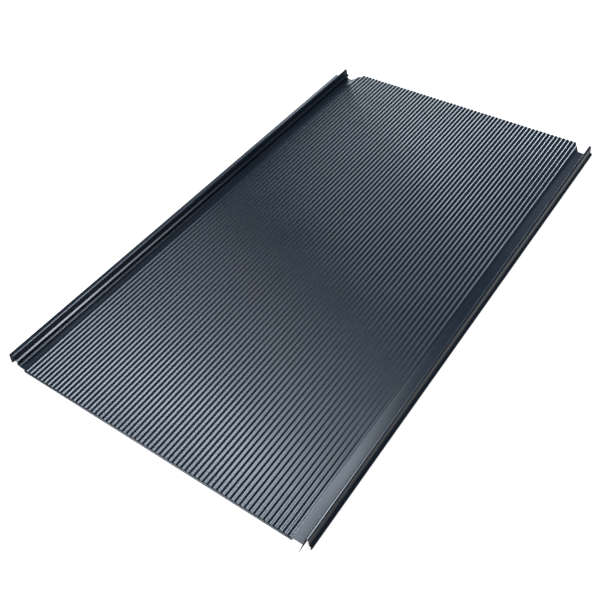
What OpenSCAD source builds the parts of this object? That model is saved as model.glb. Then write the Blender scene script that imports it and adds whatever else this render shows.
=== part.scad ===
// Standing seam roof panel, roll-formed from one coated steel sheet.
// A finely ribbed pan lies between two raised seams. The left edge has the male seam with a
// slotted fixing flange, the right edge has the cap that snaps over the next panel's male seam.
// The near end has its hem folded under, the far end has the notched lap tongue.

/* [Sheet] */
// Thickness of the coated sheet
sheet_t = 0.6; // [0.5:0.1:0.8]
// Length of the seams and of the flat strips beside the ribs
panel_l = 941.5; // [600:0.5:1600]

/* [Pan] */
// Number of ribs across the pan
rib_count = 64; // [40:1:70]
// Distance from one rib to the next
rib_pitch = 7.8; // [6:0.1:10]
// Height of a rib above the flat strips
rib_h = 1.2; // [0.6:0.1:1.6]
// Width of the flat strip between the ribs and the male seam
strip_left_w = 11.8; // [8:0.1:30]
// Width of the flat strip between the ribs and the cap seam
strip_right_w = 18.1; // [8:0.1:30]

/* [Both seams] */
// How far a head slopes down from its web side to its leg side
head_fall = 0.9; // [0.4:0.1:1.4]
// Inner radius of a head's bend on the web side
crest_r = 0.7; // [0.5:0.1:1]
// Inner radius of a head's bend on the leg side
head_r = 1.7; // [1.2:0.1:2]
// Inner radius of the bends at the flange, the bead and the flare
bend_r = 0.8; // [0.5:0.1:1]
// Inner radius of the bends between a seam and the pan
foot_r = 1.7; // [1:0.1:2.2]

/* [Male seam] */
// Height of the middle of the sheet at the crest of the male seam
seam_h = 21.3; // [18:0.1:26]
// Width of the male seam's head
head_w = 3; // [2.6:0.1:5]
// Lean of the web beside the flange, from upright
web_lean = 18.3; // [12:0.1:24]
// Lean of the face that looks over the pan, from upright
face_lean = 5.7; // [3:0.1:10]
// Height at which the face turns out into the ledge of the snap bead
ledge_z = 11.2; // [10.5:0.1:14]
// How far the ledge slopes down to the bead's nose
ledge_fall = 1.7; // [1:0.1:2.2]
// How far the nose stands out from the bottom of the face
bead_out = 3.4; // [2.6:0.1:4]
// Height of the upright nose
nose_h = 2.5; // [2.3:0.1:3]
// How far the leg under the bead stands back from the nose
bead_under = 2.3; // [1.8:0.1:3]
// How far the bead's underside slopes down on its way back to the leg
under_fall = 1; // [0.6:0.1:1.4]
// Height at which the leg turns out to the pan
leg_z = 2.5; // [2.2:0.1:3]
// How far the foot reaches out from the leg
foot_out = 3.1; // [2.4:0.1:4]

/* [Fixing flange] */
// Width of the flange from the foot of the web
flange_w = 17.6; // [14:0.1:40]
// Least distance of a slot's middle from an end of the flange
slot_margin = 40; // [20:1:80]
// Distance from one slot to the next
slot_pitch = 78; // [40:1:160]
// Length of a slot from end to end
slot_l = 25; // [12:1:30]
// Width of a slot
slot_w = 5; // [4:0.5:6]
// Distance of the slots' middle line from the flange's free edge
slot_edge = 9.5; // [6:0.5:10]
// Width of the corner cut off the flange at the near end
flange_cut_w = 14.5; // [4:0.5:16]
// Length of the corner cut off the flange at the near end
flange_cut_l = 7.5; // [4:0.5:15]

/* [Cap seam] */
// Height of the middle of the sheet at the crest of the cap
cap_h = 21.2; // [18:0.1:26]
// Width of the cap's head
cap_head_w = 3.4; // [2.6:0.1:5]
// Lean of the cap's web, from upright
cap_web_lean = 10; // [6:0.1:14]
// Lean of the cap's outer leg, from upright
cap_leg_lean = 5.8; // [3:0.1:10]
// Height at which the outer leg turns out into the flare
flare_z = 7.9; // [7:0.1:10]
// How far the flare slopes down to its outer edge
flare_fall = 3.2; // [2:0.1:3.8]
// How far the outer edge stands out from the bottom of the leg
flare_out = 3.8; // [2.8:0.1:5]
// Height of the flare's upright outer edge
edge_h = 2.7; // [2.4:0.1:3.2]
// How far the lip slopes down from the outer edge
lip_fall = 3; // [2:0.1:3.4]
// How far the lip turns back under the flare
lip_in = 2.9; // [2.2:0.1:4]
// How far the foot of the cap's web runs on past the near end of the pan
web_tail_l = 11.2; // [4:0.1:20]

/* [Ends] */
// Length of the lap tongue at the far end
tongue_l = 25.8; // [15:0.1:50]
// How far the tongue's foot reaches past the ribs on either side
tongue_side = 4; // [0.5:0.1:7]
// Width of the corner cut off the tongue
tongue_cut_w = 14.7; // [5:0.1:30]
// Clear gap inside the folded hem
hem_gap = 3.1; // [1.8:0.1:6]
// Length of the hem's return under the pan
hem_return = 22; // [12:1:40]

/* [Hidden] */

// Steps that a rib and a bend are drawn with
rib_steps = 10;
bend_steps = 4;
// Length that tools reach past the faces they cut
over = 5;

// Pan, measured from the middle of the ribs, with the middle of the flat sheet at height 0
ribs_w = rib_count * rib_pitch;
foot_left_x = -ribs_w / 2 - strip_left_w;
foot_right_x = ribs_w / 2 + strip_right_w;

// Male seam, worked out from its foot up to the head and down to the flange
leg_x = foot_left_x - foot_out;
nose_x = leg_x + bead_under;
nose_top_z = ledge_z - ledge_fall;
nose_foot_z = nose_top_z - nose_h;
face_x = nose_x - bead_out;
head_foot_z = seam_h - head_fall;
head_x = face_x - (head_foot_z - ledge_z) * tan(face_lean);
crest_x = head_x - head_w;
web_foot_x = crest_x - seam_h * tan(web_lean);
flange_edge_x = web_foot_x - flange_w;

// Cap seam, worked out from the foot of its web over the head to the lip
cap_crest_x = foot_right_x + cap_h * tan(cap_web_lean);
cap_head_x = cap_crest_x + cap_head_w;
cap_head_z = cap_h - head_fall;
cap_leg_x = cap_head_x + (cap_head_z - flare_z) * tan(cap_leg_lean);
flare_x = cap_leg_x + flare_out;
edge_top_z = flare_z - flare_fall;
edge_foot_z = edge_top_z - edge_h;

// Slots: as many as fit between the margins, in a row centred on the flange
slot_count = floor((panel_l - 2 * slot_margin) / slot_pitch) + 1;
first_slot_y = (panel_l - (slot_count - 1) * slot_pitch) / 2;

// Hem: the fold's middle radius, and the level of the lowest sheet
hem_r = (hem_gap + sheet_t) / 2;
hem_z = -2 * hem_r;

// The panel is centred on the origin and stands on its lowest face
right_edge_x = flare_x + sheet_t / 2;
base_z = hem_z - sheet_t / 2;
mid_x = (flange_edge_x + right_edge_x) / 2;
far_y = panel_l + tongue_l;
tail_y = -web_tail_l;
mid_y = (tail_y + far_y) / 2;

// Points of a bend of radius r at b, on the way from a to c
function unit(v) = v / norm(v);
function turn(u, v) = acos(max(-1, min(1, u * v)));
function side(u, v) = sign(u[0] * v[1] - u[1] * v[0]);
function bend(a, b, c, r) =
    let (
        u = unit(b - a),
        v = unit(c - b),
        half = turn(u, v) / 2,
        s = side(u, v),
        start = b - u * r * tan(half),
        normal = [-u[1], u[0]] * s,
        centre = start + normal * r
    )
    [
        for (i = [0 : bend_steps])
            let (g = s * 2 * half * i / bend_steps)
            centre - [
                normal[0] * cos(g) - normal[1] * sin(g),
                normal[0] * sin(g) + normal[1] * cos(g)
            ] * r
    ];

// A path of [x, z, bend radius] corners with every bend rounded
function rounded(p) = [
    for (i = [0 : len(p) - 1])
        let (here = [p[i][0], p[i][1]])
        each (i == 0 || i == len(p) - 1 || p[i][2] == 0)
            ? [here]
            : bend([p[i - 1][0], p[i - 1][1]], here, [p[i + 1][0], p[i + 1][1]], p[i][2])
];

// Outline of a sheet of thickness sheet_t whose middle follows the path
function corner_normal(p, i) =
    let (
        last = len(p) - 1,
        u = unit(p[min(i + 1, last)] - p[min(i, last - 1)]),
        v = unit(p[max(i, 1)] - p[max(i - 1, 0)]),
        m = unit(u + v)
    )
    [-m[1], m[0]] / max(0.5, m * u);
function sheet_outline(p) = concat(
    [for (i = [0 : len(p) - 1]) p[i] + corner_normal(p, i) * sheet_t / 2],
    [for (i = [len(p) - 1 : -1 : 0]) p[i] - corner_normal(p, i) * sheet_t / 2]
);

// Radii of the bends along the middle of the sheet
mid_crest_r = crest_r + sheet_t / 2;
mid_head_r = head_r + sheet_t / 2;
mid_bend_r = bend_r + sheet_t / 2;
mid_foot_r = foot_r + sheet_t / 2;

// From the flange's free edge over the male seam to the pan
male_path = rounded([
    [flange_edge_x, 0, 0],
    [web_foot_x, 0, mid_bend_r],
    [crest_x, seam_h, mid_crest_r],
    [head_x, head_foot_z, mid_head_r],
    [face_x, ledge_z, mid_bend_r],
    [nose_x, nose_top_z, mid_bend_r],
    [nose_x, nose_foot_z, mid_bend_r],
    [leg_x, nose_foot_z - under_fall, mid_bend_r],
    [leg_x, leg_z, mid_bend_r],
    [foot_left_x, 0, mid_foot_r],
    [foot_left_x + strip_left_w / 2, 0, 0]
]);

// Ribs as one cosine wave that starts and ends level with the flat strips
rib_path = [
    for (i = [0 : rib_count * rib_steps])
        [-ribs_w / 2 + i * rib_pitch / rib_steps, rib_h / 2 * (1 - cos(360 * i / rib_steps))]
];

// From the pan over the cap seam to its inturned lip
cap_path = rounded([
    [foot_right_x - strip_right_w / 2, 0, 0],
    [foot_right_x, 0, mid_foot_r],
    [cap_crest_x, cap_h, mid_crest_r],
    [cap_head_x, cap_head_z, mid_head_r],
    [cap_leg_x, flare_z, mid_bend_r],
    [flare_x, edge_top_z, mid_bend_r],
    [flare_x, edge_foot_z, mid_bend_r],
    [flare_x - lip_in, edge_foot_z - lip_fall, 0]
]);

// The rolled section from edge to edge
module section() {
    polygon(sheet_outline(concat(male_path, rib_path, cap_path)));
}

// The sheet after rolling, still longer than the panel at both ends
module rolled_sheet() {
    translate([0, far_y + over, 0])
        rotate([90, 0, 0])
            linear_extrude(height = far_y - tail_y + 2 * over)
                section();
}

// What the shears leave of the sheet, seen from above
module trimmed_plan() {
    tongue_x = ribs_w / 2 + tongue_side;
    polygon([
        [flange_edge_x - over, flange_cut_l],
        [flange_edge_x, flange_cut_l],
        [flange_edge_x + flange_cut_w, 0],
        [foot_right_x + over, 0],
        [flare_x + over, 0],
        [flare_x + over, panel_l],
        [tongue_x, panel_l],
        [tongue_x - tongue_cut_w, far_y],
        [tongue_cut_w - tongue_x, far_y],
        [-tongue_x, panel_l],
        [flange_edge_x - over, panel_l]
    ]);
}

// The foot of the cap's web runs on past the pan as a pointed tail
module web_tail() {
    intersection() {
        rolled_sheet();
        translate([foot_right_x - sheet_t, 0, 0])
            rotate([90, 0, 90])
                linear_extrude(height = cap_crest_x - foot_right_x)
                    polygon([[tail_y, -sheet_t], [over, -sheet_t], [over, cap_h], [0, cap_h]]);
    }
}

// Open hem, folded under the ribs at the near end
module hem() {
    translate([-ribs_w / 2, 0, 0])
        rotate([90, 0, 90])
            linear_extrude(height = ribs_w)
                union() {
                    difference() {
                        translate([0, -hem_r])
                            circle(r = hem_r + sheet_t / 2, $fn = 48);
                        translate([0, -hem_r])
                            circle(r = hem_r - sheet_t / 2, $fn = 48);
                        translate([0, hem_z - over])
                            square([over, -hem_z + 2 * over]);
                    }
                    translate([0, hem_z - sheet_t / 2])
                        square([hem_return, sheet_t]);
                }
}

// Row of slots in the fixing flange
module fixing_slots() {
    for (i = [0 : slot_count - 1])
        translate([flange_edge_x + slot_edge, first_slot_y + i * slot_pitch, -over])
            linear_extrude(height = 2 * over)
                union() {
                    for (end = [-1, 1])
                        translate([0, end * (slot_l - slot_w) / 2])
                            circle(d = slot_w, $fn = 32);
                    square([slot_w, slot_l - slot_w], center = true);
                }
}

module roof_panel() {
    color([0.22, 0.25, 0.28])
        translate([-mid_x, -mid_y, -base_z])
            union() {
                difference() {
                    intersection() {
                        rolled_sheet();
                        translate([0, 0, -over])
                            linear_extrude(height = cap_h + 3 * over)
                                trimmed_plan();
                    }
                    fixing_slots();
                }
                web_tail();
                hem();
            }
}

roof_panel();
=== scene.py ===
import bpy, math
from mathutils import Matrix, Vector


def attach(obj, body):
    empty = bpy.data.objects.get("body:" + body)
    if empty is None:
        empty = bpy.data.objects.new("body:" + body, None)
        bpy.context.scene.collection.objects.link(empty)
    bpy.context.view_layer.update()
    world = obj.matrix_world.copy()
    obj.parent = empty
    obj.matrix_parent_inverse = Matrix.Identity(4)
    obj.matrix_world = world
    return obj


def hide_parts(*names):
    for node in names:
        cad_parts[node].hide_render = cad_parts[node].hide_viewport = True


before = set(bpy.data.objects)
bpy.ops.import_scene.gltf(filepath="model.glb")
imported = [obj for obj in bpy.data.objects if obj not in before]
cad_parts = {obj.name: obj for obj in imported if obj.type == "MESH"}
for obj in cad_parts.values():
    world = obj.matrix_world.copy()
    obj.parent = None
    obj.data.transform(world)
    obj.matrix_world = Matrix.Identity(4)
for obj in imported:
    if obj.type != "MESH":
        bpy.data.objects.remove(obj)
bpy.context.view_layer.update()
scene = bpy.context.scene

# Camera
# The photo's viewpoint, in front of the near right corner and looking down along the ribs. Its
# place and turn were solved from the panel's parallel edges.
place = Vector((0.56874, -0.82811, 0.93804))
right = Vector((0.82139, 0.56822, -0.04952)).normalized()
ahead = Vector((-0.41872, 0.54176, -0.72881))
ahead = (ahead - right * ahead.dot(right)).normalized()
up = right.cross(ahead)
lens = bpy.data.cameras.new("camera")
lens.lens = 47.445
camera = bpy.data.objects.new("camera", lens)
camera.matrix_world = Matrix.Translation(place) @ Matrix((right, up, -ahead)).transposed().to_4x4()
scene.collection.objects.link(camera)
scene.camera = camera

# Roof panel
# One strip of prepainted steel, roll-formed with its ribs, male seam and cap seam, sheared to
# length and folded under at the near end. The weathered face has the anthracite coil coat, the
# back a thin dark grey coat darkened to near black with painted shade, and the shears leave the steel bare
# along every cut edge.
sheet_t = 0.0006
panel_l = 0.9415
rib_pitch, rib_count, rib_h = 0.0078, 64, 0.0012
ribs_w = rib_pitch * rib_count
tongue_l, tongue_side, tongue_cut = 0.0258, 0.004, 0.0147
hem_r, hem_return = 0.00185, 0.022
web_foot, web_top, cap_h, tail_l = 0.2677, 0.271438, 0.0212, 0.0111
flange_edge, flange_cut_w, flange_cut_l = -0.294163, 0.0145, 0.0075
slot_x, slot_y, slot_pitch, slot_count = -0.284663, 0.04175, 0.078, 12
slot_l, slot_w = 0.025, 0.005
panel_place = Vector((0.006982, -0.47805, 0.0040))

# corners of the section on either side of the ribs, in metres: across, height, bend radius
male_corners = [
    (flange_edge, 0, 0), (flange_edge + flange_cut_w, 0, 0), (-0.276563, 0, 0.0011),
    (-0.269518, 0.0213, 0.0010), (-0.266518, 0.0204, 0.0020), (-0.265600, 0.0112, 0.0011),
    (-0.262200, 0.0095, 0.0011), (-0.262200, 0.0070, 0.0011), (-0.264500, 0.0060, 0.0011),
    (-0.264500, 0.0025, 0.0011), (-0.261400, 0, 0.0020), (-ribs_w / 2 - tongue_side, 0, 0),
    (-ribs_w / 2, 0, 0)]
cap_corners = [
    (ribs_w / 2, 0, 0), (ribs_w / 2 + tongue_side, 0, 0), (web_foot, 0, 0.0020), (web_top, cap_h, 0.0010),
    (0.274838, 0.0203, 0.0020), (0.276098, 0.0079, 0.0011), (0.279898, 0.0047, 0.0011),
    (0.279898, 0.0020, 0.0011), (0.276998, -0.0010, 0)]

# anthracite coil coat: satin, with a fine orange peel, faint streaks from the rolls along the
# ribs, slow drifts of tone and gloss, and rib crests a little burnished by the rolls. The crests
# are told by their height in metres, and lose a little roughness.
crest_foot, crest_top, crest_polish = 0.0048, 0.0055, -0.02
coat = bpy.data.materials.new("anthracite_coil_coat")
coat.use_nodes = True
nodes, links = coat.node_tree.nodes, coat.node_tree.links
paint = nodes["Principled BSDF"]
paint.inputs["Specular Tint"].default_value = (0.79, 0.885, 1.0, 1)
spot = nodes.new("ShaderNodeTexCoord").outputs["Object"]
drift = nodes.new("ShaderNodeTexNoise")
drift.inputs["Scale"].default_value = 9
drift.inputs["Detail"].default_value = 3
links.new(spot, drift.inputs["Vector"])
stretch = nodes.new("ShaderNodeMapping")
stretch.inputs["Scale"].default_value = (900, 5, 900)
links.new(spot, stretch.inputs["Vector"])
streak = nodes.new("ShaderNodeTexNoise")
streak.inputs["Scale"].default_value = 1
streak.inputs["Detail"].default_value = 2
links.new(stretch.outputs[0], streak.inputs["Vector"])
height = nodes.new("ShaderNodeSeparateXYZ")
links.new(spot, height.inputs[0])
crest = nodes.new("ShaderNodeMapRange")
crest.inputs["From Min"].default_value = crest_foot
crest.inputs["From Max"].default_value = crest_top
links.new(height.outputs["Z"], crest.inputs["Value"])
blend = nodes.new("ShaderNodeMix")
blend.inputs["Factor"].default_value = 0.35
links.new(drift.outputs["Fac"], blend.inputs["A"])
links.new(streak.outputs["Fac"], blend.inputs["B"])
tone = nodes.new("ShaderNodeValToRGB")
tone.color_ramp.elements[0].position, tone.color_ramp.elements[0].color = 0.35, (0.0087, 0.0156, 0.0262, 1)
tone.color_ramp.elements[1].position, tone.color_ramp.elements[1].color = 0.65, (0.0110, 0.0188, 0.0308, 1)
links.new(blend.outputs["Result"], tone.inputs["Fac"])
links.new(tone.outputs["Color"], paint.inputs["Base Color"])
gloss = nodes.new("ShaderNodeMapRange")
gloss.inputs["From Min"].default_value, gloss.inputs["From Max"].default_value = 0.3, 0.7
gloss.inputs["To Min"].default_value, gloss.inputs["To Max"].default_value = 0.185, 0.225
links.new(blend.outputs["Result"], gloss.inputs["Value"])
burnish = nodes.new("ShaderNodeMath")
burnish.operation = "MULTIPLY_ADD"
burnish.inputs[1].default_value = crest_polish
links.new(crest.outputs["Result"], burnish.inputs[0])
links.new(gloss.outputs["Result"], burnish.inputs[2])
links.new(burnish.outputs[0], paint.inputs["Roughness"])
peel = nodes.new("ShaderNodeTexNoise")
peel.inputs["Scale"].default_value = 700
peel.inputs["Detail"].default_value = 1
links.new(spot, peel.inputs["Vector"])
relief = nodes.new("ShaderNodeBump")
relief.inputs["Strength"].default_value = 0.25
relief.inputs["Distance"].default_value = 0.000006
links.new(peel.outputs["Fac"], relief.inputs["Height"])
links.new(relief.outputs["Normal"], paint.inputs["Normal"])

# back coat: thin and dull, with a cloudy tone and a rougher grain. Its colour is partly the coat's own dark
# grey and partly painted shade, darkened to near black so that the tail of the cap's web reads as unlit
back = bpy.data.materials.new("back_coat_with_painted_shade")
back.use_nodes = True
nodes, links = back.node_tree.nodes, back.node_tree.links
primer = nodes["Principled BSDF"]
primer.inputs["Specular IOR Level"].default_value = 0.1
spot = nodes.new("ShaderNodeTexCoord").outputs["Object"]
cloud = nodes.new("ShaderNodeTexNoise")
cloud.inputs["Scale"].default_value = 22
cloud.inputs["Detail"].default_value = 5
links.new(spot, cloud.inputs["Vector"])
# near-black tone: the coat's dark grey, darkened with painted shade
tone = nodes.new("ShaderNodeValToRGB")
tone.color_ramp.elements[0].position, tone.color_ramp.elements[0].color = 0.3, (0.010, 0.011, 0.012, 1)
tone.color_ramp.elements[1].position, tone.color_ramp.elements[1].color = 0.7, (0.015, 0.016, 0.018, 1)
links.new(cloud.outputs["Fac"], tone.inputs["Fac"])
links.new(tone.outputs["Color"], primer.inputs["Base Color"])
dull = nodes.new("ShaderNodeMapRange")
dull.inputs["To Min"].default_value, dull.inputs["To Max"].default_value = 0.60, 0.75
links.new(cloud.outputs["Fac"], dull.inputs["Value"])
links.new(dull.outputs["Result"], primer.inputs["Roughness"])
grain = nodes.new("ShaderNodeTexNoise")
grain.inputs["Scale"].default_value = 1500
links.new(spot, grain.inputs["Vector"])
relief = nodes.new("ShaderNodeBump")
relief.inputs["Strength"].default_value = 0.3
relief.inputs["Distance"].default_value = 0.00002
links.new(grain.outputs["Fac"], relief.inputs["Height"])
links.new(relief.outputs["Normal"], primer.inputs["Normal"])

# bare galvanised steel where the sheet is sheared or punched, with the shear's fine drag lines
bare = bpy.data.materials.new("bare_cut_edge")
bare.use_nodes = True
nodes, links = bare.node_tree.nodes, bare.node_tree.links
steel = nodes["Principled BSDF"]
steel.inputs["Metallic"].default_value = 0.85
spot = nodes.new("ShaderNodeTexCoord").outputs["Object"]
stretch = nodes.new("ShaderNodeMapping")
stretch.inputs["Scale"].default_value = (2500, 2500, 300)
links.new(spot, stretch.inputs["Vector"])
drag = nodes.new("ShaderNodeTexNoise")
drag.inputs["Scale"].default_value = 1
drag.inputs["Detail"].default_value = 3
links.new(stretch.outputs[0], drag.inputs["Vector"])
tone = nodes.new("ShaderNodeValToRGB")
tone.color_ramp.elements[0].position, tone.color_ramp.elements[0].color = 0.3, (0.13, 0.135, 0.14, 1)
tone.color_ramp.elements[1].position, tone.color_ramp.elements[1].color = 0.7, (0.24, 0.245, 0.25, 1)
links.new(drag.outputs["Fac"], tone.inputs["Fac"])
links.new(tone.outputs["Color"], steel.inputs["Base Color"])
dull = nodes.new("ShaderNodeMapRange")
dull.inputs["To Min"].default_value, dull.inputs["To Max"].default_value = 0.35, 0.55
links.new(drag.outputs["Fac"], dull.inputs["Value"])
links.new(dull.outputs["Result"], steel.inputs["Roughness"])
relief = nodes.new("ShaderNodeBump")
relief.inputs["Strength"].default_value = 0.4
relief.inputs["Distance"].default_value = 0.00003
links.new(drag.outputs["Fac"], relief.inputs["Height"])
links.new(relief.outputs["Normal"], steel.inputs["Normal"])

# the corners as two chains of edges, which the tree rounds and rolls out
chains = bpy.data.meshes.new("section_corners")
points, edges, radii = [], [], []
for chain in (male_corners, cap_corners):
    first = len(points)
    points += [(x, 0, z) for x, z, r in chain]
    radii += [r for x, z, r in chain]
    edges += [(i, i + 1) for i in range(first, len(points) - 1)]
chains.from_pydata(points, edges, [])
chains.attributes.new("bend_radius", "FLOAT", "POINT").data.foreach_set("value", radii)
panel = bpy.data.objects.new("panel_sheet", chains)
scene.collection.objects.link(panel)

tree = bpy.data.node_groups.new("rolled_panel", "GeometryNodeTree")
tree.interface.new_socket("Geometry", in_out="INPUT", socket_type="NodeSocketGeometry")
tree.interface.new_socket("Geometry", in_out="OUTPUT", socket_type="NodeSocketGeometry")
sizes = {"Sheet": sheet_t, "Panel Length": panel_l,
         "Rib Count": rib_count, "Rib Pitch": rib_pitch, "Rib Height": rib_h, "Ribs Width": ribs_w,
         "Tongue Length": tongue_l, "Tongue Side": tongue_side, "Tongue Cut": tongue_cut,
         "Hem Radius": hem_r, "Hem Return": hem_return,
         "Web Foot": web_foot, "Web Top": web_top, "Cap Height": cap_h, "Tail Length": tail_l,
         "Flange Edge": flange_edge, "Flange Cut Width": flange_cut_w, "Flange Cut Length": flange_cut_l,
         "Slot X": slot_x, "First Slot Y": slot_y, "Slot Pitch": slot_pitch, "Slot Count": slot_count,
         "Slot Length": slot_l, "Slot Width": slot_w}
for name, size in sizes.items():
    kind = "NodeSocketInt" if isinstance(size, int) else "NodeSocketFloat"
    tree.interface.new_socket(name, in_out="INPUT", socket_type=kind)
given = tree.nodes.new("NodeGroupInput").outputs

# distances in metres within which points are welded, on the sheet and along its section
sheet_weld, section_weld = 1e-6, 1e-5
back_finish, bare_finish = 1, 2


def grow(kind, settings=None, **sockets):
    """Adds one node, with its settings and its sockets filled by values or by links."""
    node = tree.nodes.new(kind)
    for key, value in (settings or {}).items():
        setattr(node, key, value)
    for key, value in sockets.items():
        into = node.inputs[int(key[1:]) if key[1:].isdigit() else key.replace("_", " ")]
        if isinstance(value, bpy.types.NodeSocket):
            tree.links.new(value, into)
        else:
            into.default_value = value
    return node.outputs


def calc(operation, a, b=0.0, c=0.0):
    """Adds one sum, by the name of Blender's math operation."""
    return grow("ShaderNodeMath", {"operation": operation}, s0=a, s1=b, s2=c)[0]


def mark(surface, finish, only=True):
    """Notes the finish of faces. A face that isn't marked has none, and gets the coat."""
    return grow("GeometryNodeStoreNamedAttribute", {"data_type": "INT", "domain": "FACE"},
                Geometry=surface, Selection=only, Name="finish", Value=finish)[0]


def thicken(surface):
    """Gives a rolled surface its sheet thickness, with the back and the cut edges marked."""
    surface = grow("GeometryNodeFlipFaces", Mesh=surface)[0]
    normal = grow("GeometryNodeInputNormal")[0]
    inward = calc("MULTIPLY", given["Sheet"], -0.5)
    drop = grow("ShaderNodeVectorMath", {"operation": "SCALE"}, Vector=normal, Scale=inward)[0]
    lower = grow("GeometryNodeSetPosition", Geometry=surface, Offset=drop)[0]
    behind = mark(grow("GeometryNodeFlipFaces", Mesh=lower)[0], back_finish)
    raised = grow("GeometryNodeExtrudeMesh", {"mode": "FACES"}, Mesh=lower,
                  Offset_Scale=given["Sheet"], Individual=False)
    edged = mark(raised["Mesh"], bare_finish, raised["Side"])
    both = tree.nodes.new("GeometryNodeJoinGeometry")
    for part in (edged, behind):
        tree.links.new(part, both.inputs[0])
    return grow("GeometryNodeMergeByDistance", Geometry=both.outputs[0], Distance=sheet_weld)[0]


# section: the seams' corners rounded, and the ribs as one wave between them
bend_steps, rib_steps = 9, 16
outline = grow("GeometryNodeMeshToCurve", Mesh=given["Geometry"])[0]
radius = grow("GeometryNodeInputNamedAttribute", {"data_type": "FLOAT"}, Name="bend_radius")[0]
bends = grow("GeometryNodeFilletCurve", {"mode": "POLY"}, Curve=outline, Count=bend_steps,
             Radius=radius, Limit_Radius=False)[0]
seams = grow("GeometryNodeCurveToMesh", Curve=bends)[0]
steps = calc("MULTIPLY_ADD", given["Rib Count"], rib_steps, 1)
start = grow("ShaderNodeCombineXYZ", X=calc("MULTIPLY", given["Ribs Width"], -0.5))[0]
stride = grow("ShaderNodeCombineXYZ", X=calc("DIVIDE", given["Rib Pitch"], rib_steps))[0]
wave = grow("GeometryNodeMeshLine", {"mode": "OFFSET"}, Count=steps, Start_Location=start, Offset=stride)[0]
along = calc("DIVIDE", grow("GeometryNodeInputIndex")[0], rib_steps)
swing = calc("SUBTRACT", 1.0, calc("COSINE", calc("MULTIPLY", along, math.tau)))
lift = calc("MULTIPLY", swing, calc("MULTIPLY", given["Rib Height"], 0.5))
ribs = grow("GeometryNodeSetPosition", Geometry=wave, Offset=grow("ShaderNodeCombineXYZ", Z=lift)[0])[0]
section = tree.nodes.new("GeometryNodeJoinGeometry")
for part in (ribs, seams):
    tree.links.new(part, section.inputs[0])
section = grow("GeometryNodeMergeByDistance", Geometry=section.outputs[0], Distance=section_weld)[0]

# sheet: the section rolled out along Y, then sheared at both ends into the tongue, the flange's
# slanted corner and the tail of the cap's web
rolled = grow("GeometryNodeExtrudeMesh", {"mode": "EDGES"}, Mesh=section,
              Offset=grow("ShaderNodeCombineXYZ", Y=given["Panel Length"])[0], Offset_Scale=1.0)
x, y, z = grow("ShaderNodeSeparateXYZ", Vector=grow("GeometryNodeInputPosition")[0])
tongue_x = calc("MULTIPLY_ADD", given["Ribs Width"], 0.5, given["Tongue Side"])
inside = calc("SUBTRACT", tongue_x, calc("ABSOLUTE", x))
tongue = calc("MINIMUM", calc("MAXIMUM", calc("DIVIDE", inside, given["Tongue Cut"]), 0.0), 1.0)
far_y = calc("MULTIPLY", tongue, given["Tongue Length"])
flange = calc("DIVIDE", calc("SUBTRACT", x, given["Flange Edge"]), given["Flange Cut Width"])
notch = calc("MULTIPLY", calc("MAXIMUM", calc("SUBTRACT", 1.0, flange), 0.0), given["Flange Cut Length"])
past_foot = calc("GREATER_THAN", x, calc("SUBTRACT", given["Web Foot"], given["Sheet"]))
before_head = calc("LESS_THAN", x, calc("ADD", given["Web Top"], section_weld))
below_head = calc("SUBTRACT", 1.0, calc("DIVIDE", z, given["Cap Height"]))
on_web = calc("MULTIPLY", past_foot, before_head)
tail = calc("MULTIPLY", calc("MULTIPLY", on_web, given["Tail Length"]), below_head)
near_y = calc("SUBTRACT", notch, tail)
sheared = grow("GeometryNodeSetPosition", Geometry=rolled["Mesh"], Selection=rolled["Top"],
               Offset=grow("ShaderNodeCombineXYZ", Y=far_y)[0])[0]
near_end = grow("FunctionNodeBooleanMath", {"operation": "NOT"}, s0=rolled["Top"])[0]
sheared = grow("GeometryNodeSetPosition", Geometry=sheared, Selection=near_end,
               Offset=grow("ShaderNodeCombineXYZ", Y=near_y)[0])[0]
sheet = thicken(sheared)

# slots: round-ended punches in a row along the flange
punch_sides, punch_h = 32, 0.01
punch = grow("GeometryNodeMeshCylinder", Vertices=punch_sides,
             Radius=calc("MULTIPLY", given["Slot Width"], 0.5), Depth=punch_h)[0]
reach = calc("MULTIPLY", calc("SUBTRACT", given["Slot Length"], given["Slot Width"]), 0.5)
ends = tree.nodes.new("GeometryNodeJoinGeometry")
for side in (1.0, -1.0):
    shift = grow("ShaderNodeCombineXYZ", Y=calc("MULTIPLY", reach, side))[0]
    tree.links.new(grow("GeometryNodeTransform", Geometry=punch, Translation=shift)[0], ends.inputs[0])
punch = grow("GeometryNodeConvexHull", Geometry=ends.outputs[0])[0]
punch = mark(punch, bare_finish)
first = grow("ShaderNodeCombineXYZ", X=given["Slot X"], Y=given["First Slot Y"])[0]
row = grow("GeometryNodeMeshLine", {"mode": "OFFSET"}, Count=given["Slot Count"], Start_Location=first,
           Offset=grow("ShaderNodeCombineXYZ", Y=given["Slot Pitch"])[0])[0]
punches = grow("GeometryNodeInstanceOnPoints", Points=row, Instance=punch)[0]
punches = grow("GeometryNodeRealizeInstances", Geometry=punches)[0]
punched = tree.nodes.new("GeometryNodeMeshBoolean")
punched.operation = "DIFFERENCE"
tree.links.new(sheet, punched.inputs["Mesh 1"])
tree.links.new(punches, punched.inputs["Mesh 2"])

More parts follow.
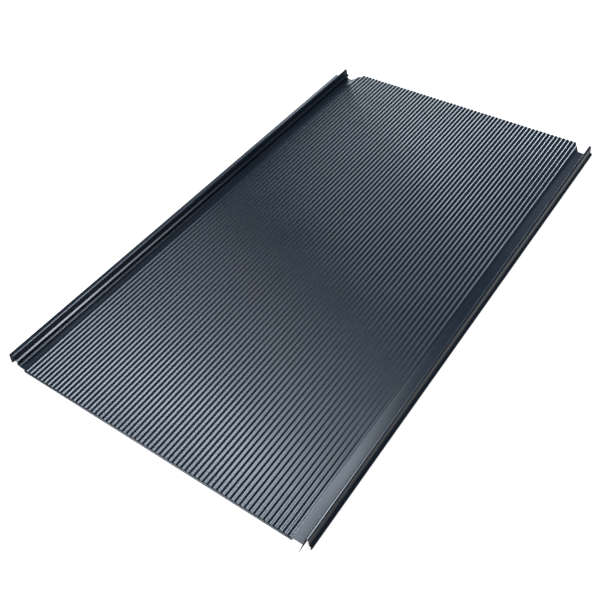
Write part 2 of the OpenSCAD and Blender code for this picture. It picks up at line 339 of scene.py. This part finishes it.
# hem: an open fold under the ribs, a half turn and a flat return
turns = 20
fold = grow("GeometryNodeMeshLine", {"mode": "OFFSET"}, Count=turns + 2)[0]
step = grow("GeometryNodeInputIndex")[0]
angle = calc("MULTIPLY", calc("MINIMUM", step, turns), math.pi / turns)
out_y = calc("MULTIPLY", calc("SINE", angle), calc("MULTIPLY", given["Hem Radius"], -1.0))
down_z = calc("MULTIPLY", calc("SUBTRACT", calc("COSINE", angle), 1.0), given["Hem Radius"])
back_y = calc("MULTIPLY", calc("GREATER_THAN", step, turns + 0.5), given["Hem Return"])
place_x = calc("MULTIPLY", given["Ribs Width"], -0.5)
bent = grow("GeometryNodeSetPosition", Geometry=fold,
            Position=grow("ShaderNodeCombineXYZ", X=place_x, Y=calc("ADD", out_y, back_y), Z=down_z)[0])[0]
hem = grow("GeometryNodeExtrudeMesh", {"mode": "EDGES"}, Mesh=bent,
           Offset=grow("ShaderNodeCombineXYZ", X=given["Ribs Width"])[0], Offset_Scale=1.0)["Mesh"]
hem = thicken(hem)

# whole panel: moved to its place, shaded smooth but for edges past a sharp angle in radians, and
# coated, with the back and the cut edges by their finish
sharp_angle = 0.5
whole = tree.nodes.new("GeometryNodeJoinGeometry")
for part in (hem, punched.outputs[0]):
    tree.links.new(part, whole.inputs[0])
whole = grow("GeometryNodeTransform", Geometry=whole.outputs[0], Translation=panel_place)[0]
whole = grow("GeometryNodeSetShadeSmooth", {"domain": "FACE"}, Geometry=whole, Shade_Smooth=True)[0]
sharp = calc("GREATER_THAN", grow("GeometryNodeInputMeshEdgeAngle")[0], sharp_angle)
whole = grow("GeometryNodeSetShadeSmooth", {"domain": "EDGE"}, Geometry=whole,
             Selection=sharp, Shade_Smooth=False)[0]
whole = grow("GeometryNodeRealizeInstances", Geometry=whole)[0]
whole = grow("GeometryNodeSetMaterial", Geometry=whole, Material=coat)[0]
finish = grow("GeometryNodeInputNamedAttribute", {"data_type": "INT"}, Name="finish")[0]
for number, material in ((back_finish, back), (bare_finish, bare)):
    chosen = calc("COMPARE", finish, number, 0.5)
    whole = grow("GeometryNodeSetMaterial", Geometry=whole, Selection=chosen, Material=material)[0]
tree.links.new(whole, tree.nodes.new("NodeGroupOutput").inputs[0])

rolling = panel.modifiers.new("rolling", "NODES")
rolling.node_group = tree
for socket in tree.interface.items_tree:
    if socket.name in sizes:
        rolling[socket.identifier] = sizes[socket.name]
made = bpy.data.meshes.new_from_object(panel.evaluated_get(bpy.context.evaluated_depsgraph_get()))
panel.modifiers.remove(rolling)
made.name = "panel_sheet"
made.materials.pop(index=0)  # the empty slot that Blender puts before the coat's
panel.data = made
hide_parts("roof_panel")
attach(panel, "root")

# Floor
# A plain sweep of card, wide enough to fill every view. It glows to the camera so that it reads
# white, and less in reflections, where the seams are near black. It takes the panel's soft shadow.
floor_half = 30
seen_glow, mirrored_glow = 0.88, 0.12
floor_corners = [(x * floor_half, y * floor_half, 0) for x, y in ((-1, -1), (1, -1), (1, 1), (-1, 1))]
floor_mesh = bpy.data.meshes.new("floor")
floor_mesh.from_pydata(floor_corners, [], [(0, 1, 2, 3)])
floor = bpy.data.objects.new("floor", floor_mesh)
scene.collection.objects.link(floor)

card = bpy.data.materials.new("pale_card")
card.use_nodes = True
nodes, links = card.node_tree.nodes, card.node_tree.links
matt = nodes["Principled BSDF"]
matt.inputs["Base Color"].default_value = (0.38, 0.38, 0.38, 1)
matt.inputs["Roughness"].default_value = 1
matt.inputs["Specular IOR Level"].default_value = 0
matt.inputs["Emission Color"].default_value = (1, 1, 1, 1)
rays = nodes.new("ShaderNodeLightPath").outputs
mirrored = nodes.new("ShaderNodeMath")
mirrored.operation = "MAXIMUM"
links.new(rays["Is Glossy Ray"], mirrored.inputs[0])
links.new(rays["Is Transmission Ray"], mirrored.inputs[1])
in_gloss = nodes.new("ShaderNodeMath")
in_gloss.operation = "MULTIPLY"
in_gloss.inputs[1].default_value = mirrored_glow
links.new(mirrored.outputs[0], in_gloss.inputs[0])
glow = nodes.new("ShaderNodeMath")
glow.operation = "MULTIPLY_ADD"
glow.inputs[1].default_value = seen_glow
links.new(rays["Is Camera Ray"], glow.inputs[0])
links.new(in_gloss.outputs[0], glow.inputs[2])
links.new(glow.outputs[0], matt.inputs["Emission Strength"])
floor_mesh.materials.append(card)

# Studio light
# Soft boxes hang over the far half of the panel and beyond it, and lower ones stand past its far
# left corner, so that the ribs catch light along one flank only. One fill in front lights the hem.
# The world is dim, and white where the camera sees it past the floor.
world_level = 0.04
overhead, around = 2.8, 3.0
white, cool = (1, 1, 1), (0.87, 0.94, 1.0)
scene.view_settings.view_transform = "Standard"
world = bpy.data.worlds.new("studio")
scene.world = world
world.use_nodes = True
nodes, links = world.node_tree.nodes, world.node_tree.links
nodes["Background"].inputs["Color"].default_value = (1, 1, 1, 1)
seen = nodes.new("ShaderNodeMath")
seen.operation = "MAXIMUM"
seen.inputs[1].default_value = world_level
links.new(nodes.new("ShaderNodeLightPath").outputs["Is Camera Ray"], seen.inputs[0])
links.new(seen.outputs[0], nodes["Background"].inputs["Strength"])

# boxes overhead: name, place, width, depth and power
soft_boxes = [("over_near", (0.2, 0.3), 0.4, 0.4, 15), ("over_middle", (0.4, 0.7), 0.8, 0.4, 18),
              ("over_right", (1.2, 0.7), 0.8, 0.4, 17), ("over_left", (-0.6, 0.8), 0.4, 1.0, 12),
              ("over_far", (0.8, 1.1), 1.6, 0.4, 11), ("over_end", (0.4, 1.5), 2.0, 0.4, 7.5)]
# boxes around the panel: name, turn and rise in degrees, width, height, power and colour
side_boxes = [("low_far", 112, 9, 0.63, 0.45, 13.2, cool), ("low_left", 124, 9, 0.63, 0.45, 6.8, cool),
              ("tall_left", 124, 25, 0.6, 1.4, 7.6, cool), ("low_side", 136, 10, 0.63, 1.0, 4.9, cool),
              ("high_side", 142, 29, 1.1, 1.0, 3.2, cool), ("high_far", 100, 34, 0.5, 0.5, 0.6, cool),
              ("front_fill", -114, 24, 1.3, 1.8, 80, white)]
lamps = [(name, Vector((x, y, overhead)), Vector((0, 0, -1)), width, depth, power, white)
         for name, (x, y), width, depth, power in soft_boxes]
for name, turn, rise, width, depth, power, colour in side_boxes:
    turn, rise = math.radians(turn), math.radians(rise)
    towards = Vector((math.cos(rise) * math.cos(turn), math.cos(rise) * math.sin(turn), math.sin(rise)))
    lamps.append((name, towards * around, -towards, width, depth, power, colour))
for name, stand, facing, width, depth, power, colour in lamps:
    light = bpy.data.lights.new(name, "AREA")
    light.shape = "RECTANGLE"
    light.size, light.size_y = width, depth
    light.energy = power
    light.color = colour
    lamp = bpy.data.objects.new(name, light)
    lamp.location = stand
    lamp.rotation_euler = facing.to_track_quat("-Z", "Y").to_euler()
    scene.collection.objects.link(lamp)
